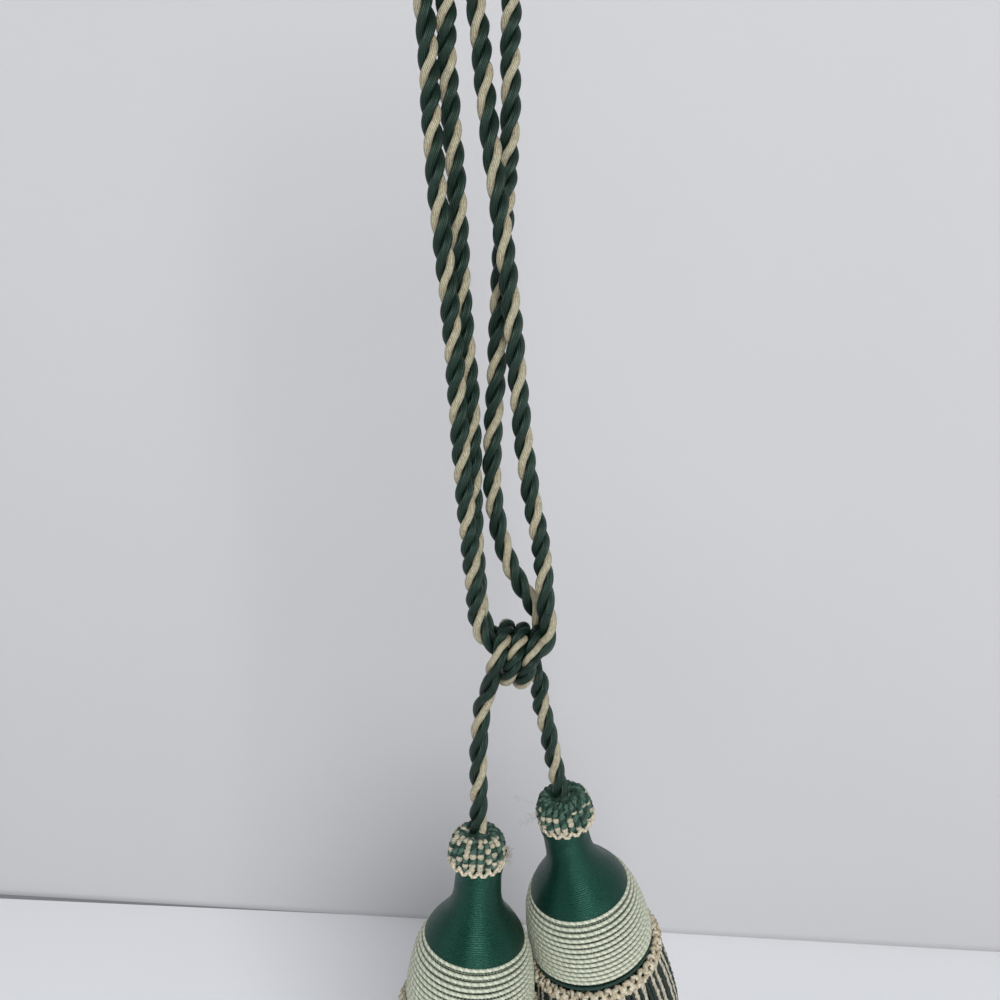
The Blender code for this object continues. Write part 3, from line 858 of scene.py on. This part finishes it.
def collar_rib(side, number):
    angle = math.tau * (number + dice.uniform(-RIB_STRAY, RIB_STRAY)) / COLLAR_RIBS
    rows = np.array([(radius, 0.0, depth) for radius, depth in RIB_ROWS])
    curve = smooth_route(rows, samples=60) / MM
    lengths = lengths_along(curve)
    share = np.linspace(0.0, 1.0, RIB_STITCHES * STITCH_POINTS + 1)
    radii, depths = (np.interp(share * lengths[-1], lengths, curve[:, i]) for i in (0, 2))
    stitch = share * RIB_STITCHES + dice.uniform(-STITCH_START, STITCH_START)
    rounded = np.abs(np.sin(math.pi * stitch)) ** STITCH_ROUNDNESS
    swell = STITCH_PINCH + STITCH_SWELL * rounded
    girths = swell * np.interp(share, np.linspace(0.0, 1.0, len(RIB_GIRTHS)), RIB_GIRTHS)
    numbers = np.arange(RIB_STITCHES + SPARE_STITCHES)
    swapped = dice.uniform(0.0, 1.0, len(numbers)) < SWAPPED
    cream = swapped != ((numbers + number) % 2 == 0)
    cream_from = CREAM_FROM[side] + dice.uniform(-CREAM_STRAY, CREAM_STRAY)
    tone = np.where(depths > cream_from, cream[np.floor(stitch + 1.0).astype(int)], 0.0)
    radii = radii * (1.0 + dice.uniform(-0.03, 0.04))
    points = ring_points(np.full(len(share), angle), radii, depths, AXES[side][3])
    return cord_line(placed(side, points), tone, girths, dice.uniform(0.0, math.tau))


# %% The frill of picots, sizes in millimetres
PICOTS = 17
PICOT_RADIUS = 0.96
PICOT_ROW = (11.9, 2.6)  # radius, depth
PICOT_REACH = 1.5  # how far a loop reaches down
PICOT_FLARE = 0.3  # how far it stands out as it does
LOOP_POINTS = 14


def picots(side):
    angles = np.linspace(0.0, math.tau, PICOTS * LOOP_POINTS + 1)
    swing = 1.0 - 2.0 * np.abs(np.sin(0.5 * PICOTS * angles))
    radii = PICOT_ROW[0] + PICOT_FLARE * swing
    depths = PICOT_ROW[1] - PICOT_REACH * swing
    return cord_line(placed(side, ring_points(angles, radii, depths, AXES[side][3])))


# %% Make the collars
CORE_ROWS = (
    # radius, depth
    (0.0, -8.0), (4.0, -8.4), (7.6, -7.6), (9.6, -5.0), (10.4, -1.8), (10.4, 2.2), (0.0, 2.4),
)
CORE_STEPS = 48
for side in AXES:
    ribs = [collar_rib(side, number) for number in range(COLLAR_RIBS)]
    collar = spun(
        f"collar_ribs_{side}", ribs, RIB_RADIUS * MM, collar_gimp, ply=0.0046, waist=0.88, sides=10
    )
    belongs(collar, "looped_gimp_collar", f"collar_{side}")
    core = turned_mesh(f"collar_core_{side}", CORE_ROWS, side, CORE_STEPS, AXES[side][3])
    core.data.materials.append(collar_gimp)
    belongs(core, "looped_gimp_collar", f"collar_{side}")
    frill = spun(
        f"collar_picots_{side}", [picots(side)], PICOT_RADIUS * MM, picot_yarn,
        ply=0.0030, waist=0.7,
    )
    belongs(frill, "looped_gimp_collar", f"collar_{side}")

# %% [markdown]
# ## Gimp braid
#
# Under the band runs a gimp: three two-ply cords in cream and tan, plaited round the head. A
# plait follows a rule: each cord swings from edge to edge, a third of a swing behind the last,
# and rises over and dips under as it crosses. A single dark cord fills the gap above it.

# %% Plait the gimp, sizes in millimetres
GIMP_CORDS = 3
GIMP_RADIUS = 1.60
GIMP_SWINGS = 14  # of each cord, in the whole ring
GIMP_MIDDLE = (29.9, 79.3)  # radius, depth
GIMP_REACH = 2.4  # how far a cord swings up and down
GIMP_RISE = 1.2  # how far it rises and dips as it crosses
GAP_CORD = (27.6, 74.9)  # radius, depth
GAP_GIRTH = 0.6
gimp_cord = yarn_material(
    "gimp_cord",
    (0.010, 0.040, 0.028), (0.62, 0.57, 0.44), (0.010, 0.040, 0.028), (0.46, 0.39, 0.27),
    finish=(0.7, 0.05, 0.3), depth=0.0001, threads=8.0, lean=1100.0, furrow=0.35, mottle=0.3,
)


def plait_cord(side, number):
    angles = np.linspace(0.0, math.tau, GIMP_SWINGS * LOOP_POINTS + 1)
    swing = GIMP_SWINGS * angles + math.tau * number / GIMP_CORDS
    radii = GIMP_MIDDLE[0] + GIMP_RISE * np.cos(2 * swing)
    depths = GIMP_MIDDLE[1] + GIMP_REACH * np.sin(swing)
    return cord_line(placed(side, ring_points(angles, radii, depths)))


gap_angles = np.linspace(0.0, math.tau, HEAD_STEPS + 1)
for side in AXES:
    plait = [plait_cord(side, number) for number in range(GIMP_CORDS)]
    plait.append(cord_line(placed(side, ring_points(gap_angles, *GAP_CORD)), 0.0, GAP_GIRTH))
    gimp = spun(f"gimp_braid_{side}", plait, GIMP_RADIUS * MM, gimp_cord, ply=0.0050, waist=0.72)
    belongs(gimp, "cream_gimp", f"gimp_{side}")

# %% [markdown]
# ## Fringe skirts
#
# The skirt is a fringe of thin twisted cords, cream and dark green, in two layers. Each cord
# leaves the gimp along the head's slope and then hangs straight down, even where the tassel
# leans. A little sway and uneven length keeps them from looking combed.

# %% The fringe's sizes, in millimetres, and its yarn
FRINGE_ROWS = (
    # radius, depth
    (29.2, 80.0), (31.6, 93.0), (33.9, 116.0), (34.6, 140.0), (34.4, 187.0),
)
FRINGE_TOP = 80.0
FRINGE_BOTTOM = 187.0
FRINGE_RADIUS = 1.28
FRINGE_POINTS = 52
FRINGE_LAYERS = (
    # cords round the skirt, how far inside the outer layer
    (90, 0.0),
    (78, 2.3),
)
FRINGE_COLOURS = (1.0, 0.0, 1.0, 0.0, 0.0)  # cream is 1 and green is 0
FRINGE_ENDS = (0.85, 0.45)  # girth of each cord's last two points
fringe_cord = yarn_material(
    "fringe_cord",
    (0.006, 0.021, 0.015), (0.54, 0.51, 0.40), (0.005, 0.017, 0.012), (0.46, 0.42, 0.33),
    finish=(0.55, 0.04, 0.4), depth=0.00008, threads=8.0, lean=700.0, furrow=0.4, mottle=0.25,
)

# %% Hang the fringe
PLUMB_START = 95.0  # depth where the cords start to swing to the plumb line
PLUMB_LENGTH = 45.0
CUT_RANGE = (-2.0, 0.4)  # how far above or below the bottom a cord may end
PLACE_STRAY = 0.15  # of the space between cords
SWAY = 0.022  # radians round the axis
WAVE = 0.010
WAVE_LENGTHS = (9.0, 14.0)  # millimetres to each radian of the wave
SWAY_RAMP = (85.0, 60.0)  # depth where the sway sets in, and depth it takes
WAVE_RAMP = (85.0, 20.0)
INNER_RAMP = (82.0, 14.0)  # where the inner layer leaves the outer one


def share_past(depths, start, span):
    """0 down to the start, 1 from a span below it, and evenly between."""
    return np.clip((depths - start) / span, 0.0, 1.0)


def plumb_shift(depths):
    """How far the fringe has swung at each depth, for each unit of the tassel's lean."""
    past = (depths - PLUMB_START) / PLUMB_LENGTH
    easing = np.where(past < 1.0, past**3 - past**4 / 2, past - 0.5)
    return np.where(past > 0.0, PLUMB_LENGTH * easing, 0.0)


def fringe_line(side, number, cords, inside):
    end = FRINGE_BOTTOM + dice.uniform(*CUT_RANGE)
    depths = np.linspace(FRINGE_TOP, end, FRINGE_POINTS)
    angle = math.tau * (number + dice.uniform(-PLACE_STRAY, PLACE_STRAY)) / cords
    sway = dice.uniform(-SWAY, SWAY) * share_past(depths, *SWAY_RAMP)
    phase = depths / dice.uniform(*WAVE_LENGTHS) + dice.uniform(0.0, math.tau)
    wave = WAVE * np.sin(phase) * share_past(depths, *WAVE_RAMP)
    radii = radius_at(FRINGE_ROWS, depths) - inside * share_past(depths, *INNER_RAMP)
    points = ring_points(angle + sway + wave, radii, depths)
    down = np.linalg.inv(axis_matrix(side)[:3, :3]) @ (0.0, 0.0, -1.0)
    points[:, :2] += plumb_shift(depths)[:, None] * down[:2] / -down[2]
    tone = FRINGE_COLOURS[number % len(FRINGE_COLOURS)]
    girth = np.ones(len(depths))
    girth[-len(FRINGE_ENDS) :] = FRINGE_ENDS
    return cord_line(placed(side, points), tone, girth, dice.uniform(0.0, 6.0))


for side in AXES:
    fringe = [
        fringe_line(side, number, cords, inside)
        for cords, inside in FRINGE_LAYERS
        for number in range(cords)
    ]
    skirt = spun(
        f"skirt_fringe_{side}", fringe, FRINGE_RADIUS * MM, fringe_cord,
        ply=0.0062, waist=0.62, sides=6,
    )
    belongs(skirt, "fringe_cord", f"skirt_{side}")

# %% [markdown]
# ## Loose fibres
#
# A few fine fibres have worked loose from the collars. They are the same cord lines, only a
# tenth of a millimetre thick.

# %% Loose fibres, sizes in millimetres
FIBRES = (
    # tassel, direction round it in degrees, depth where they start, how many, how far they reach
    ("right", 190.0, -5.0, 5, 9.0),
    ("left", -12.0, -0.5, 16, 3.6),
)
FIBRE_RADIUS = 0.05
FIBRE_POINTS = 24
FIBRE_ROOT = 12.3  # radius where they leave the collar
FIBRE_SPREAD = 0.35  # radians either way
FIBRE_CURL = 1.1


def fibre(side, degrees, depth, longest):
    angle = math.radians(degrees) + dice.uniform(-FIBRE_SPREAD, FIBRE_SPREAD)
    at = np.linspace(0.0, 1.0, FIBRE_POINTS)
    out = dice.uniform(0.4, 1.0) * longest * at
    curls = dice.uniform(1.5, 4.0) * math.tau * at
    start = depth + dice.uniform(-2.5, 2.5)
    depths = start + dice.uniform(-0.7, 0.3) * out + FIBRE_CURL * at * np.sin(curls)
    angles = angle + 0.07 * np.cos(curls + dice.uniform(0.0, 6.0))
    return cord_line(placed(side, ring_points(angles, FIBRE_ROOT + out, depths, AXES[side][3])))


loose = [
    fibre(side, degrees, depth, longest)
    for side, degrees, depth, count, longest in FIBRES
    for _ in range(count)
]
fuzz = spun("loose_fibres", loose, FIBRE_RADIUS * MM, picot_yarn, sides=4)
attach(fuzz, BODY)

# %% [markdown]
# ## Table, wall and light
#
# The tieback hangs in front of a plain pale wall, over a plain pale table. The wall shows only
# from its front, so that the tassels can be looked at from behind too, and its paint has painted
# shade along its foot, where it meets the table. Soft light comes from a wide window in front,
# above and to the right, with weaker light from the sides.

# %% A plain paint
FLOOR_LEVEL = -0.660
# Height of the strip of painted shade at the wall's foot.
FOOT_SHADE_HEIGHT = 0.005  # of the darker strip along the wall's foot


def plain_paint(name, colour, one_sided=False, foot=0.0):
    """foot is how much darker painted shade makes the paint at the floor."""
    material = bpy.data.materials.new(name)
    material.use_nodes = True
    tree = material.node_tree
    shader = tree.nodes["Principled BSDF"]
    place = add_node(tree, "ShaderNodeTexCoord").outputs["Object"]
    clouds = {"Vector": place, "Scale": 2.2, "Detail": 2.0}
    noise = made_by(tree, "ShaderNodeTexNoise", clouds)
    shade = maths(tree, "MULTIPLY_ADD", noise, 0.06, 0.97)
    # Painted shade: the paint darkens towards the floor, where the wall meets the table.
    if foot:
        level = add_node(tree, "ShaderNodeSeparateXYZ", {0: place}).outputs["Z"]
        height = maths(tree, "SUBTRACT", level, FLOOR_LEVEL)
        rise = maths(tree, "DIVIDE", height, FOOT_SHADE_HEIGHT, clamp=True)
        light = maths(tree, "MULTIPLY_ADD", rise, foot, 1.0 - foot)
        shade = maths(tree, "MULTIPLY", shade, light)
    tint = {0: colour, "Scale": shade}
    paint = made_by(tree, "ShaderNodeVectorMath", tint, operation="SCALE")
    tree.links.new(paint, shader.inputs["Base Color"])
    shader.inputs["Roughness"].default_value = 0.9
    shader.inputs["Specular IOR Level"].default_value = 0.1
    if one_sided:
        clear = made_by(tree, "ShaderNodeBsdfTransparent")
        back = add_node(tree, "ShaderNodeNewGeometry").outputs["Backfacing"]
        sides = {0: back, 1: shader.outputs[0], 2: clear}
        mix = made_by(tree, "ShaderNodeMixShader", sides)
        tree.links.new(mix, tree.nodes["Material Output"].inputs["Surface"])
    return material


# %% Table and wall
WALL_PLACE = Vector((-0.02, 0.286, 0.0))
WALL_YAW = math.radians(-5.2)
WALL_HALF = 2.0
WALL_TOP = 1.6
TABLE_HALF = 2.5


def stage_plane(name, corners, material):
    mesh = bpy.data.meshes.new(name)
    mesh.from_pydata(corners, [], [tuple(range(len(corners)))])
    mesh.materials.append(material)
    obj = bpy.data.objects.new(name, mesh)
    bpy.context.scene.collection.objects.link(obj)
    print(f"{name}: {material.name}")
    return obj


wall_way = Vector((math.cos(WALL_YAW), math.sin(WALL_YAW), 0.0))
wall_left = WALL_PLACE - WALL_HALF * wall_way
wall_right = WALL_PLACE + WALL_HALF * wall_way
wall_corners = [
    (wall_left.x, wall_left.y, FLOOR_LEVEL), (wall_right.x, wall_right.y, FLOOR_LEVEL),
    (wall_right.x, wall_right.y, WALL_TOP), (wall_left.x, wall_left.y, WALL_TOP),
]
table_corners = [
    (-TABLE_HALF, -TABLE_HALF, FLOOR_LEVEL), (TABLE_HALF, -TABLE_HALF, FLOOR_LEVEL),
    (TABLE_HALF, wall_right.y, FLOOR_LEVEL), (-TABLE_HALF, wall_left.y, FLOOR_LEVEL),
]
# The wall's paint carries painted shade at its foot.
wall_paint = plain_paint("wall_paint", (0.460, 0.460, 0.472), one_sided=True, foot=0.22)
stage_plane("wall", wall_corners, wall_paint)
stage_plane("table", table_corners, plain_paint("table_paint", (0.80, 0.81, 0.83)))

# %% Light
scene = bpy.context.scene
scene.view_settings.view_transform = "Standard"
world = bpy.data.worlds.new("studio")
world.use_nodes = True
background = world.node_tree.nodes["Background"].inputs
background["Color"].default_value = (0.93, 0.95, 1.0, 1.0)
background["Strength"].default_value = 0.21
scene.world = world


def soft_light(name, place, aim, width, power, colour=(1.0, 1.0, 1.0)):
    lamp = bpy.data.lights.new(name, "AREA")
    lamp.shape = "SQUARE"
    lamp.size = width
    lamp.energy = power
    lamp.color = colour
    obj = bpy.data.objects.new(name, lamp)
    obj.location = place
    obj.rotation_euler = (Vector(aim) - Vector(place)).to_track_quat("-Z", "Y").to_euler()
    scene.collection.objects.link(obj)
    print(f"{name}: {power} W, {width} m wide")


MIDDLE = (0.02, 0.0, -0.38)
soft_light("front_window", (0.60, -2.30, 0.70), MIDDLE, 1.5, 74.0)
soft_light("left_fill", (-1.30, -0.70, 0.10), MIDDLE, 1.2, 6.5, (0.95, 0.97, 1.0))
soft_light("right_fill", (1.35, -0.25, -0.05), MIDDLE, 0.9, 1.5)
